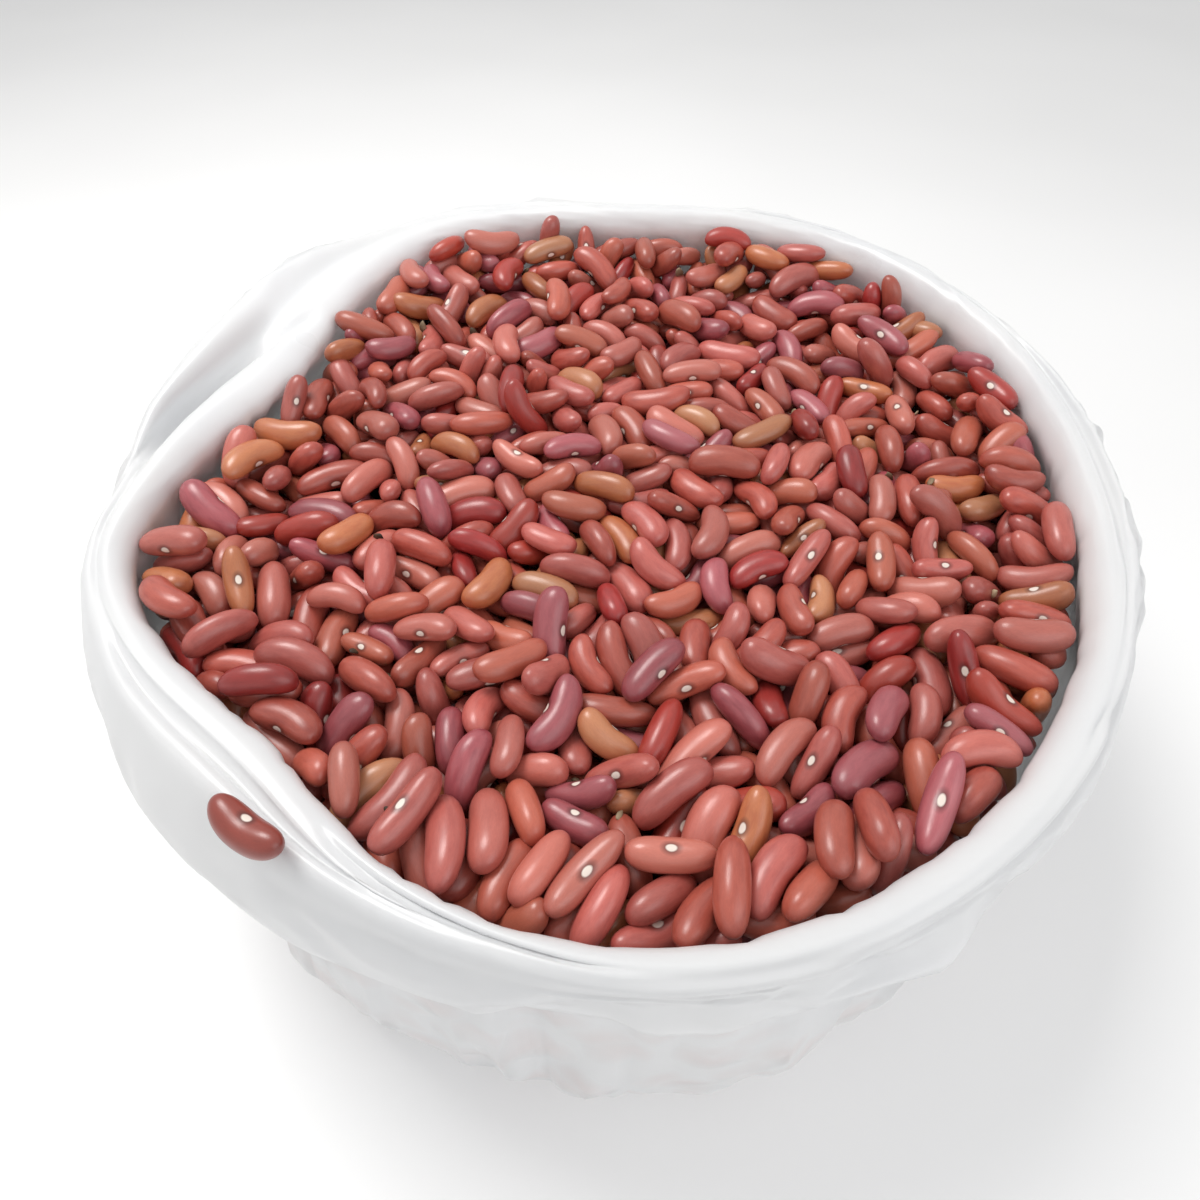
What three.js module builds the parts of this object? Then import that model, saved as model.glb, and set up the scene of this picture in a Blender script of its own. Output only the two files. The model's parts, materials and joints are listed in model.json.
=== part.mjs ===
// An open bag of dried kidney beans: a thin white film bag that stands on its flat bottom, its mouth
// turned outwards and down as a soft collar, full of beans to just under the rim, with one stray bean
// lying on the collar. Millimetres, +Z up, +X to the right and +Y away from the front of the bag.
// Directions round the bag are in degrees: 0 is right, 90 is the back, 180 is left, 270 is the front.

import * as THREE from 'three';
import { mergeVertices } from 'three/addons/utils/BufferGeometryUtils.js';

// ---- driving dimensions -------------------------------------------------------------------------

const FILM = 1.1;            // thickness of the bag's wall as a solid
const GAP = 0.45;            // clear space between pieces that touch
const SEGMENTS = 64;         // flat facets round the bag
const BEAN_LEVEL = 100;      // height of the beans' surface at the middle of the mouth
const LEVEL_RISE = 10;       // how much higher the beans lie at the back than at the middle
const BASE_SHRINK = 27;      // how far the flat bottom lies inside the belly
const BELLY_HEIGHT = 36;     // height of the widest part of the body
const BELLY_REACH = 121;     // mean radius there
const BELLY_LEAN = 3;        // extra radius at the back, and as much less at the front
const LUMP_DEPTH = 0.9;      // soft bulges of the body
const PLEAT_DEPTH = 0.8;     // upright pleats where the body runs up under the collar
const WAVE_DEPTH = 1.3;      // waves along the collar's hem
const CREASE_BEND = 8;       // degrees over the collar where a crease parts it into two rolls
const CREASE_SPREAD = 5;     // half width of that crease, in the same degrees
const ROLL_BEND = 24;        // degrees over the collar where the outer roll stands highest
const ROLL_SPREAD = 13;      // half width of the outer roll
const HEM_TURN = 112;        // degrees that the collar bends through, from level at its crest
const HEAP_BUMPS = 1.7;      // how far single beans stand out of the heap, up or down
const BEAN_LENGTH = 16.5;
const BEAN_WIDTH = 8;
const BEAN_THICKNESS = 6.4;
const BEAN_BEND = 0.011;     // sideways curve of a bean, in 1/mm
const STRAY_DIRECTION = 237; // where the stray bean lies on the collar
const STRAY_BEND = 25;       // degrees over the collar where it lies
const STRAY_TURN = -32;      // degrees from +X that the stray bean points

// Reaches and heights by direction, as [degrees, millimetres].
const MOUTH_REACH = [
  [0, 111], [30, 119], [55, 123.5], [90, 116.5], [115, 123.5], [135, 112], [155, 97.5], [176, 107],
  [194, 116], [208, 109.5], [229, 101], [250, 108.5], [270, 114], [300, 112.5], [330, 110.5],
];
const COLLAR_REACH = [
  [0, 128], [30, 133], [60, 136], [90, 134], [120, 145], [138, 147], [158, 133], [180, 129],
  [205, 129], [230, 125], [255, 120.5], [285, 122], [315, 122], [335, 123.5],
];
const CREST_STEP_OUT = [
  [0, 5], [60, 5], [120, 6], [145, 12], [165, 12], [185, 5.5], [205, 4], [240, 4], [265, 3], [300, 4.5],
];
const COLLAR_DROP = [
  [0, 21], [60, 20], [95, 19], [120, 12], [142, 9], [162, 17], [195, 23], [230, 24], [262, 17],
  [300, 18], [335, 20],
];

const CREASE_DEPTH = [
  [0, 2.6], [30, 2.2], [60, 2], [90, 0.8], [115, 1.2], [140, 3], [160, 4], [178, 4], [190, 2], [205, 2.6],
  [235, 3.2], [256, 2], [272, 0], [315, 0], [340, 1.5],
];
const OUTER_ROLL_RISE = [
  [0, 2], [30, 1.5], [60, 1.5], [90, 0.8], [115, 2], [140, 5], [160, 5], [178, 3], [195, 1.5], [230, 3],
  [256, 1.5], [272, 0], [315, 0], [340, 1],
];

// ---- small helpers ------------------------------------------------------------------------------

const radians = THREE.MathUtils.degToRad;

// A smooth function of direction through the given [degrees, value] pairs, closed on itself.
function roundTheBag(pairs) {
  const wrapped = [-360, 0, 360].flatMap((turn) => pairs.map(([degrees, value]) => [degrees + turn, value]));
  const directions = wrapped.map(([degrees]) => degrees);
  const values = wrapped.map(([, value]) => value);
  const curve = new THREE.CubicInterpolant(directions, values, 1);
  return (degrees) => curve.evaluate(THREE.MathUtils.euclideanModulo(degrees, 360))[0];
}

// A round-topped bump: 1 at its middle, falling to about a third a spread away.
function bump(value, middle, spread) {
  return Math.exp(-(((value - middle) / spread) ** 2));
}

function wave(degrees, count, start) {
  return Math.sin(count * radians(degrees) + start);
}

// Joins the shared corners, drops the empty triangles at the axis and turns the faces outwards.
function closedBody(geometry) {
  geometry.deleteAttribute('normal');
  geometry.deleteAttribute('uv');
  const merged = mergeVertices(geometry, 1e-3);
  const place = merged.getAttribute('position');
  const corners = merged.index.array;
  const kept = [];
  let volume = 0;
  const a = new THREE.Vector3();
  const b = new THREE.Vector3();
  const c = new THREE.Vector3();
  for (let i = 0; i < corners.length; i += 3) {
    const [p, q, r] = corners.slice(i, i + 3);
    if (p === q || q === r || r === p) continue;
    kept.push(p, q, r);
    a.fromBufferAttribute(place, p);
    b.fromBufferAttribute(place, q);
    c.fromBufferAttribute(place, r);
    volume += a.dot(b.cross(c)) / 6;
  }
  if (volume < 0) kept.reverse();
  merged.setIndex(kept);
  merged.computeVertexNormals();
  return merged;
}

// A lathe-turned solid whose section changes with direction: sectionAt(degrees) gives the same
// number of points each time, from the axis, round the section and back to the axis.
function turnedSolid(sectionAt) {
  const sections = Array.from({ length: SEGMENTS }, (_, i) => sectionAt((i * 360) / SEGMENTS));
  const count = sections[0].length;
  const geometry = new THREE.LatheGeometry(sections[0], SEGMENTS);
  const place = geometry.getAttribute('position');
  for (let i = 0; i <= SEGMENTS; i += 1) {
    const section = sections[i % SEGMENTS];
    const angle = ((i % SEGMENTS) / SEGMENTS) * 2 * Math.PI;
    section.forEach((point, j) => {
      place.setXYZ(i * count + j, point.x * Math.cos(angle), point.x * Math.sin(angle), point.y);
    });
  }
  return closedBody(geometry);
}

// ---- the film -----------------------------------------------------------------------------------

const mouthReach = roundTheBag(MOUTH_REACH);
const collarReach = roundTheBag(COLLAR_REACH);
const crestStepOut = roundTheBag(CREST_STEP_OUT);
const collarDrop = roundTheBag(COLLAR_DROP);
const creaseDepth = roundTheBag(CREASE_DEPTH);
const outerRollRise = roundTheBag(OUTER_ROLL_RISE);

// Height of the beans' surface at a place, without the bumps of single beans.
function beanLevel(x, y) {
  const back = y / BELLY_REACH;
  return BEAN_LEVEL + (LEVEL_RISE / 2) * (back + back * back) + 0.6 * (x / BELLY_REACH);
}

// Height of the collar's crest: lowest at the front, highest at the back.
function crestHeight(degrees) {
  const angle = radians(degrees);
  return BEAN_LEVEL + 9.4 + 6.6 * Math.sin(angle) + 1.8 * Math.cos(angle) - 0.9 * Math.cos(2 * angle);
}

function bellyReach(degrees) {
  const lumps = wave(degrees, 3, 0.4) + wave(degrees, 5, 2.1) + 0.6 * wave(degrees, 9, 1.2);
  return BELLY_REACH + BELLY_LEAN * Math.sin(radians(degrees)) + LUMP_DEPTH * lumps;
}

// Where the film leaves the beans, as a point of the section at this direction.
function mouthEdge(degrees) {
  const reach = mouthReach(degrees);
  const angle = radians(degrees);
  const level = beanLevel(reach * Math.cos(angle), reach * Math.sin(angle));
  return new THREE.Vector2(reach, Math.min(level + 0.5, crestHeight(degrees) - 2.5));
}

// The flat bottom and the body up to the mouth, along the middle of the film's thickness.
const BODY_STEPS_LOW = 6;
const BODY_STEPS_HIGH = 4;
function bodyLine(degrees) {
  const belly = bellyReach(degrees);
  const base = belly - BASE_SHRINK + 1.5 * wave(degrees, 7, 0.9);
  const edge = mouthEdge(degrees);
  const line = [new THREE.Vector2(0, FILM / 2), new THREE.Vector2(base * 0.55, FILM / 2)];
  for (let i = 0; i <= BODY_STEPS_LOW; i += 1) {
    const bend = ((i / BODY_STEPS_LOW) * Math.PI) / 2;
    const reach = base + (belly - base) * Math.sin(bend);
    line.push(new THREE.Vector2(reach, BELLY_HEIGHT - (BELLY_HEIGHT - FILM / 2) * Math.cos(bend)));
  }
  for (let i = 1; i <= BODY_STEPS_HIGH; i += 1) {
    const up = i / BODY_STEPS_HIGH;
    const pleat = PLEAT_DEPTH * Math.sin(Math.PI * up) * wave(degrees, 13, 0.3);
    const reach = THREE.MathUtils.lerp(belly, edge.x, up * up) + pleat;
    line.push(new THREE.Vector2(reach, THREE.MathUtils.lerp(BELLY_HEIGHT, edge.y, up)));
  }
  return line;
}
const BODY_POINTS = 2 + BODY_STEPS_LOW + 1 + BODY_STEPS_HIGH;

// The highest line of the film just outside the mouth, as a point of the section.
function crestPoint(degrees) {
  return new THREE.Vector2(mouthReach(degrees) + crestStepOut(degrees), crestHeight(degrees));
}

// The collar: bent outwards and down from the crest, with a crease and an outer roll where it has them.
function collarPoint(degrees, bend) {
  const crest = crestPoint(degrees);
  const over = bend / HEM_TURN;
  const hemWave = WAVE_DEPTH * over * over * (wave(degrees, 8, 1.7) + 0.6 * wave(degrees, 13, 0.2));
  const width = collarReach(degrees) - crest.x;
  const crease = creaseDepth(degrees) * bump(bend, CREASE_BEND, CREASE_SPREAD);
  const roll = outerRollRise(degrees) * bump(bend, ROLL_BEND, ROLL_SPREAD);
  const drop = collarDrop(degrees) * (1 - Math.cos(radians(bend)));
  const reach = crest.x + width * Math.sin(radians(bend)) + hemWave;
  return new THREE.Vector2(reach, crest.y - drop - crease + roll);
}

// The rounded rise from the mouth's edge to the crest, then the collar down to its hem, in steps
// that grow towards the hem so that the first of them falls on the crease.
const CREST_STEPS = 3;
const COLLAR_STEPS = 9;
const STEP_GROWTH = 1.2;
function collarLine(degrees) {
  const edge = mouthEdge(degrees);
  const crest = crestPoint(degrees);
  const line = [];
  for (let i = 1; i <= CREST_STEPS; i += 1) {
    const bend = ((i / CREST_STEPS) * Math.PI) / 2;
    const reach = crest.x - (crest.x - edge.x) * Math.cos(bend);
    line.push(new THREE.Vector2(reach, edge.y + (crest.y - edge.y) * Math.sin(bend)));
  }
  for (let i = 1; i <= COLLAR_STEPS; i += 1) {
    line.push(collarPoint(degrees, HEM_TURN * (i / COLLAR_STEPS) ** STEP_GROWTH));
  }
  return line;
}

function filmLine(degrees) {
  return [...bodyLine(degrees), ...collarLine(degrees)];
}

// The line moved sideways by a distance: above 0 to the film's outer side, below 0 to its inner side.
function offsetLine(line, distance) {
  return line.map((point, i) => {
    const before = line[Math.max(i - 1, 0)];
    const after = line[Math.min(i + 1, line.length - 1)];
    const along = after.clone().sub(before).normalize();
    if (i === 0) along.set(1, 0);
    return new THREE.Vector2(point.x + along.y * distance, point.y - along.x * distance);
  });
}

function bag() {
  const geometry = turnedSolid((degrees) => {
    const line = filmLine(degrees);
    const outside = offsetLine(line, FILM / 2);
    const inside = offsetLine(line, -FILM / 2);
    return [...outside, ...inside.reverse()];
  });
  const film = new THREE.MeshStandardMaterial({ color: 0xf1f1f0, roughness: 0.42, metalness: 0 });
  return namedMesh('bag', geometry, film);
}

// ---- the beans ----------------------------------------------------------------------------------

// Single beans standing out of the heap: lumps from -1 to 1, a little longer than a bean apart.
function heapLumps(x, y) {
  return Math.sin(x / 3.3 + 1.9 * Math.sin(y / 8.3)) * Math.sin(y / 3.7 + 1.6 * Math.sin(x / 7.1));
}

const HEAP_RINGS = 11;
function heapSection(degrees) {
  const wall = offsetLine(filmLine(degrees), -(FILM / 2 + GAP)).slice(0, BODY_POINTS);
  const rim = wall[wall.length - 1];
  const angle = radians(degrees);
  const top = [];
  for (let ring = HEAP_RINGS - 1; ring > 0; ring -= 1) {
    const reach = (rim.x * ring) / HEAP_RINGS;
    const x = reach * Math.cos(angle);
    const y = reach * Math.sin(angle);
    const settled = THREE.MathUtils.smoothstep(ring, HEAP_RINGS - 3, HEAP_RINGS);
    const height = THREE.MathUtils.lerp(beanLevel(x, y), rim.y, settled);
    top.push(new THREE.Vector2(reach, height + HEAP_BUMPS * heapLumps(x, y)));
  }
  // From the top down, as the bag's inner side runs, so that both are cut into the same triangles.
  return [...wall, ...top, new THREE.Vector2(0, BEAN_LEVEL)].reverse();
}

function beans() {
  const skin = new THREE.MeshStandardMaterial({ color: 0xb26a62, roughness: 0.4, metalness: 0 });
  return namedMesh('beans', turnedSolid(heapSection), skin);
}

// One kidney bean, its length along X and its concave side towards +Y.
function kidneyGeometry() {
  const geometry = new THREE.SphereGeometry(1, 18, 10);
  geometry.rotateZ(Math.PI / 2);
  const place = geometry.getAttribute('position');
  for (let i = 0; i < place.count; i += 1) {
    const along = place.getX(i);
    const blunt = Math.sqrt(Math.max(1 - along ** 4, 0) / Math.max(1 - along ** 2, 1e-9));
    const x = along * (BEAN_LENGTH / 2);
    const y = place.getY(i) * blunt * (BEAN_WIDTH / 2) + BEAN_BEND * x * x;
    place.setXYZ(i, x, y, place.getZ(i) * blunt * (BEAN_THICKNESS / 2));
  }
  return closedBody(geometry);
}

// The stray bean lies flat on the collar: its thickness stands along the film's own slope.
function strayBean() {
  const skin = new THREE.MeshStandardMaterial({ color: 0x8a3a34, roughness: 0.35, metalness: 0 });
  const mesh = namedMesh('loose_bean', kidneyGeometry(), skin);
  const under = collarPoint(STRAY_DIRECTION, STRAY_BEND);
  const before = collarPoint(STRAY_DIRECTION, STRAY_BEND - ROLL_SPREAD);
  const after = collarPoint(STRAY_DIRECTION, STRAY_BEND + ROLL_SPREAD);
  const angle = radians(STRAY_DIRECTION);
  const slope = after.clone().sub(before).normalize();
  const up = new THREE.Vector3(-slope.y * Math.cos(angle), -slope.y * Math.sin(angle), slope.x);
  const turn = radians(STRAY_TURN);
  const across = up.clone().cross(new THREE.Vector3(Math.cos(turn), Math.sin(turn), 0)).normalize();
  const along = across.clone().cross(up);
  mesh.setRotationFromMatrix(new THREE.Matrix4().makeBasis(along, across, up));
  mesh.position.set(under.x * Math.cos(angle), under.x * Math.sin(angle), under.y);
  mesh.position.addScaledVector(up, FILM / 2 + GAP + BEAN_THICKNESS / 2);
  return mesh;
}

// ---- the whole ----------------------------------------------------------------------------------

function namedMesh(name, geometry, material) {
  const mesh = new THREE.Mesh(geometry, material);
  mesh.name = name;
  return mesh;
}

const group = new THREE.Group();
group.add(bag());
group.add(beans());
group.add(strayBean());

// Stand the whole on its bottom, with the middle of its box over the origin.
group.updateMatrixWorld(true);
const box = new THREE.Box3().setFromObject(group, true);
const middle = box.getCenter(new THREE.Vector3());
group.position.set(-middle.x, -middle.y, -box.min.z);
group.updateMatrixWorld(true);

export default group;
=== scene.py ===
# %% [markdown]
# # An open bag of dried kidney beans
# A thin white film bag stands open on a table. Its mouth has been turned outwards and down, which
# makes a soft collar, and it is full of dried kidney beans nearly to the rim. One stray bean lies on
# the collar. This lesson makes the film from the construction model's bag, pours a layer of real
# beans over a smaller core with a rigid-body simulation, and gives each kind of bean its own skin.

# %% Load the frame
import json
import math
import random

import bmesh
import bpy
import numpy as np
from mathutils import Euler, Matrix, Vector, noise
from mathutils.bvhtree import BVHTree

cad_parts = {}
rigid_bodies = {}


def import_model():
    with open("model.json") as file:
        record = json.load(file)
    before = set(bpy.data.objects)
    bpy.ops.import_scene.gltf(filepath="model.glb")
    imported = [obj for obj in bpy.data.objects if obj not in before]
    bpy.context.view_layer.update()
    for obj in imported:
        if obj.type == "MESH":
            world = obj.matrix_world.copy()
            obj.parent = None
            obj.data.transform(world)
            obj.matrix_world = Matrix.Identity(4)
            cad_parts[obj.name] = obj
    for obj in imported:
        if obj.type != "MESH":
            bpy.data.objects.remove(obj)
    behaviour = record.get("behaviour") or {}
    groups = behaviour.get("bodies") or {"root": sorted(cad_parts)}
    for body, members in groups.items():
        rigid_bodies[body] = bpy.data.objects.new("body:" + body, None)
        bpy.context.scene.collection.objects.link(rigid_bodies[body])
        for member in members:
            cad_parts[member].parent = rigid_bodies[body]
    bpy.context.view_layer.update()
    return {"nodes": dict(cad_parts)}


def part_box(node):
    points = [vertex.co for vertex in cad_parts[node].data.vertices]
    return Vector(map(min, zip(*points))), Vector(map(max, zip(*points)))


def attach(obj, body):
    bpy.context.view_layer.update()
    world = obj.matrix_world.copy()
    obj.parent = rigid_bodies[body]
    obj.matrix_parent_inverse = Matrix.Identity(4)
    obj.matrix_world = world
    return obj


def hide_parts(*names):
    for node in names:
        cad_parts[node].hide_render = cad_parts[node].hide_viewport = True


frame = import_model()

MM = 0.001
bag_low, bag_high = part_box("bag")
heap_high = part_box("beans")[1]
scene = bpy.context.scene
print("bag", [round(v / MM) for v in bag_high - bag_low], "mm across, deep and high")

# %% [markdown]
# ## Camera, light and floor
# The bag is looked into from the front, from close by and well above the rim, so the near beans
# look twice as large as the far ones. A short lens does that, and a longer one would flatten it.
# The light is soft: a wide lamp high up at the back left, a weaker one at the front right, and a
# pale room all round, so that the white film has shape without hard shadows.

# %% Camera
CAMERA_PLACE = Vector((-3.4, -157.1, 229.5)) * MM
CAMERA_TILT = math.radians(49.65)  # how far it looks down
SENSOR_WIDTH, LENS_LENGTH = 36, 22.98
camera = bpy.data.objects.new("camera", bpy.data.cameras.new("camera"))
camera.location = CAMERA_PLACE
camera.rotation_euler = (math.pi / 2 - CAMERA_TILT, 0, 0)
camera.data.sensor_width = SENSOR_WIDTH
camera.data.lens = LENS_LENGTH
camera.data.clip_start = 10 * MM
scene.collection.objects.link(camera)
scene.camera = camera
print("lens", round(camera.data.lens, 1), "mm")


# %% Lamps and room light
def soft_lamp(name, place, size, watts, colour):
    """A square lamp that faces the middle of the bag's mouth."""
    lamp = bpy.data.lights.new(name, "AREA")
    lamp.size = size
    lamp.energy = watts
    lamp.color = colour
    holder = bpy.data.objects.new(name, lamp)
    holder.location = place
    to_mouth = Vector((0, 0, bag_high.z)) - Vector(place)
    holder.rotation_euler = to_mouth.to_track_quat("-Z", "Y").to_euler()
    scene.collection.objects.link(holder)
    return holder


soft_lamp("key_lamp", (-0.30, 0.22, 0.80), 0.35, 4.2, (1.0, 0.99, 0.97))
soft_lamp("fill_lamp", (0.5, -0.55, 0.5), 0.7, 1.7, (0.97, 0.98, 1.0))
room = bpy.data.worlds.new("room")
room.use_nodes = True
room.node_tree.nodes["Background"].inputs["Color"].default_value = (1.0, 1.0, 1.0, 1.0)
room.node_tree.nodes["Background"].inputs["Strength"].default_value = 0.66
scene.world = room
scene.view_settings.view_transform = "Standard"


# %% [markdown]
# ## Helpers for materials
# Every finish here is built from nodes. A few short helpers keep the node code readable: one adds a
# node and fills its sockets, one builds a colour ramp, and one makes a node group with named sockets.

# %% Node helpers
def add_node(tree, kind, values=None, **settings):
    """A node with its settings, and its inputs either linked (a socket) or set (a value)."""
    made = tree.nodes.new(kind)
    for name, value in settings.items():
        setattr(made, name, value)
    for name, value in (values or {}).items():
        socket = made.inputs[name]
        if isinstance(value, bpy.types.NodeSocket):
            tree.links.new(value, socket)
        else:
            socket.default_value = value
    return made


def srgb(red, green, blue):
    """A colour as seen on screen, 0 to 255, as the linear colour that a shader takes."""
    share = [c / 255 for c in (red, green, blue)]
    linear = [c / 12.92 if c <= 0.04045 else ((c + 0.055) / 1.055) ** 2.4 for c in share]
    return (*linear, 1.0)


def ramp(tree, factor, stops):
    """A colour ramp from [(place, colour), ...]."""
    made = add_node(tree, "ShaderNodeValToRGB", {"Fac": factor})
    elements = made.color_ramp.elements
    while len(elements) < len(stops):
        elements.new(0.5)
    for element, (place, colour) in zip(elements, stops):
        element.position = place
        element.color = colour
    return made.outputs["Color"]


def calc(tree, operation, first, second=0.5, third=0.5, clamp=False):
    made = add_node(tree, "ShaderNodeMath", {0: first, 1: second, 2: third}, operation=operation)
    made.use_clamp = clamp
    return made.outputs[0]


def mix_colour(tree, factor, first, second, blend="MIX"):
    made = add_node(tree, "ShaderNodeMix", data_type="RGBA", blend_type=blend, clamp_factor=True)
    for index, value in ((0, factor), (6, first), (7, second)):
        if isinstance(value, bpy.types.NodeSocket):
            tree.links.new(value, made.inputs[index])
        else:
            made.inputs[index].default_value = value
    return made.outputs[2]


def new_group(name, inputs, outputs):
    """A shader node group with named sockets: [(name, kind, default), ...]."""
    group = bpy.data.node_groups.new(name, "ShaderNodeTree")
    for label, kind, default in inputs:
        socket = group.interface.new_socket(label, in_out="INPUT", socket_type=kind)
        if default is not None:
            socket.default_value = default
    for label, kind in outputs:
        group.interface.new_socket(label, in_out="OUTPUT", socket_type=kind)
    return group, group.nodes.new("NodeGroupInput"), group.nodes.new("NodeGroupOutput")


def new_material(name):
    material = bpy.data.materials.new(name)
    material.use_nodes = True
    return material, material.node_tree, material.node_tree.nodes["Principled BSDF"]


# %% Floor
def make_floor():
    bm = bmesh.new()
    bmesh.ops.create_grid(bm, x_segments=1, y_segments=1, size=4.0)
    mesh = bpy.data.meshes.new("floor")
    bm.to_mesh(mesh)
    bm.free()
    floor = bpy.data.objects.new("floor", mesh)
    scene.collection.objects.link(floor)
    material, tree, shader = new_material("pale_floor")
    place = add_node(tree, "ShaderNodeTexCoord").outputs["Object"]
    cloud = add_node(tree, "ShaderNodeTexNoise", {"Vector": place, "Scale": 3.0})
    tone = ramp(tree, cloud.outputs["Fac"], [(0.3, srgb(243, 243, 243)), (0.7, srgb(249, 249, 249))])
    tree.links.new(tone, shader.inputs["Base Color"])
    shader.inputs["Roughness"].default_value = 0.6
    mesh.materials.append(material)


make_floor()


# %% [markdown]
# ## Reading the bag's film from the construction model
# The construction model holds the bag as a wall about a millimetre thick, turned ring by ring: from
# the middle of the bottom, up the body, over the crest and down the collar to its hem. Real film is
# far thinner, so only the wall's inner face is kept, as one sheet. The rings are found by walking
# outwards from the middle along the edges that keep their direction. The slanting edges of the
# triangles are then dissolved, which leaves a clean grid of four-sided faces that can be made finer.

# %% Rings and directions of the film
WAYS = 64                  # directions round the bag in the construction model
MOUTH, CREST, HEM = 12, 15, 24  # rings where the film leaves the beans, turns over, and ends
MERGE = 0.01 * MM          # corners closer than this are one


def way_of(place, middle):
    """Which of the directions round the bag a place lies in."""
    turn = math.atan2(place.y - middle.y, place.x - middle.x) / (2 * math.pi)
    return round(turn * WAYS) % WAYS


def inner_sheet():
    """The wall's inner face as a bmesh of quads, with its ring number kept on every corner."""
    bm = bmesh.new()
    bm.from_mesh(frame["nodes"]["bag"].data)
    bmesh.ops.remove_doubles(bm, verts=bm.verts, dist=MERGE)
    rings = bm.verts.layers.float.new("ring")
    hubs = [v for v in bm.verts if len(v.link_edges) == WAYS]
    hub = max(hubs, key=lambda v: v.co.z)
    middle = hub.co.copy()
    ring_of = {hub: 0}
    spokes = [edge.other_vert(hub) for edge in hub.link_edges]
    row = {way_of(vertex.co, middle): vertex for vertex in spokes}
    for ring in range(1, HEM + 1):
        for vertex in row.values():
            ring_of[vertex] = ring
        onward = {}
        for way, vertex in row.items():
            for edge in vertex.link_edges:
                other = edge.other_vert(vertex)
                if other not in ring_of and way_of(other.co, middle) == way:
                    onward[way] = other
        row = onward
    for vertex, ring in ring_of.items():
        vertex[rings] = ring
    bmesh.ops.delete(bm, geom=[v for v in bm.verts if v not in ring_of], context="VERTS")
    slanting = []
    for edge in bm.edges:
        a, b = edge.verts
        turns_too = way_of(a.co, middle) != way_of(b.co, middle)
        if ring_of[a] != ring_of[b] and hub not in (a, b) and turns_too:
            slanting.append(edge)
    bmesh.ops.dissolve_edges(bm, edges=slanting, use_verts=False)
    return bm, middle


film_cage, mouth_middle = inner_sheet()
four_sided = sum(len(f.verts) == 4 for f in film_cage.faces)
print("film cage:", four_sided, "of", len(film_cage.faces), "faces are four-sided")


# %% [markdown]
# ## One kidney bean
# A dried kidney bean is about 17 mm long, 8 mm wide and 6 mm thick, blunt at both ends and bent
# round its eye, the small pale scar where it hung in the pod. The shape starts as a coarse sphere
# with its poles at the bean's two tips, which is blunted, flattened, bent and dented. It keeps only
# a few dozen faces, because it is repeated about a thousand times, and every corner remembers where
# it lies on its own bean, so that the eye and the speckles can be painted in place.

# %% Bean shape
BEAN_LENGTH, BEAN_WIDTH, BEAN_THICKNESS = 16.9 * MM, 8.5 * MM, 7.0 * MM


def bean_mesh(name, form, around, rings):
    """A kidney bean with its length along X and its eye towards +Y."""
    bend, dent, blunt = form
    bm = bmesh.new()
    own = bm.verts.layers.float_vector.new("own_place")
    bmesh.ops.create_uvsphere(bm, u_segments=around, v_segments=rings, radius=1.0)
    bmesh.ops.rotate(bm, verts=bm.verts, matrix=Matrix.Rotation(math.pi / 2, 3, "Y"))
    for vertex in bm.verts:
        along, side, up = vertex.co
        girth = math.sqrt(max(1 - abs(along) ** blunt, 0) / max(1 - along * along, 1e-6))
        girth *= 1 - 0.05 * along
        hollow = dent * math.exp(-((along / 0.42) ** 2)) * max(side, 0)
        vertex.co.x = along * BEAN_LENGTH / 2
        vertex.co.y = (side * girth - hollow + bend * (along * along - 0.35)) * BEAN_WIDTH / 2
        vertex.co.z = up * girth * BEAN_THICKNESS / 2
        vertex[own] = (along, side * girth, up * girth)
    mesh = bpy.data.meshes.new(name)
    bm.to_mesh(mesh)
    bm.free()
    return mesh


# Bend, dent and bluntness of the shapes that a handful of beans has.
BEAN_FORMS = [(0.30, 0.24, 3.2), (0.16, 0.18, 3.6), (0.40, 0.30, 3.1), (0.22, 0.16, 4.0)]
bean_forms = [bean_mesh(f"bean_form_{i}", form, 8, 8) for i, form in enumerate(BEAN_FORMS)]
pour_forms = [bean_mesh(f"pour_form_{i}", form, 6, 5) for i, form in enumerate(BEAN_FORMS)]
print("a bean has", len(bean_forms[0].polygons), "faces")

# %% [markdown]
# ## Pouring the beans
# Beans find their own places best under gravity, so the top layers are poured. They fall as rigid
# bodies onto the smaller core, which follows the heap's surface some way below it, inside a fence
# that follows the film. Real beans are too small for the solver's tolerances, so the pour happens at
# forty times the size, with gravity made stronger to match. Everything random is seeded, and the
# pan's parts are rounded and put in a fixed order, because a heap of beans magnifies the smallest
# difference. So the solver gives the same result each time.

# %% The heap's smooth surface
LAYER_DEPTH = 17.5 * MM    # how far the core lies below the heap's surface
LUMP_DEPTH = 14 * MM       # how far below the highest bean the heap's top still reaches


def fit_heap_level():
    """The heap's top in the construction model as a smooth sloping surface through all its lumps."""
    corners = np.array([v.co for v in frame["nodes"]["beans"].data.vertices])
    top = corners[corners[:, 2] > heap_high.z - LUMP_DEPTH]
    x, y = top[:, 0], top[:, 1]
    shape = np.stack([np.ones_like(x), x, y, y * y], axis=1)
    return np.round(np.linalg.lstsq(shape, top[:, 2], rcond=None)[0], 5)


heap_fit = fit_heap_level()


def heap_level(x, y):
    return float(heap_fit @ np.array([1.0, x, y, y * y]))


print("beans' level at the middle", round(heap_level(*mouth_middle.xy) / MM, 1), "mm")

# %% The pan that the beans fall into
POUR_SCALE = 40
PAN_REACH = 150 * MM       # from the bag's middle to the edge of the pan's floor
FENCE_RISE = 90 * MM       # how far the fence stands above the film's crest


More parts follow.
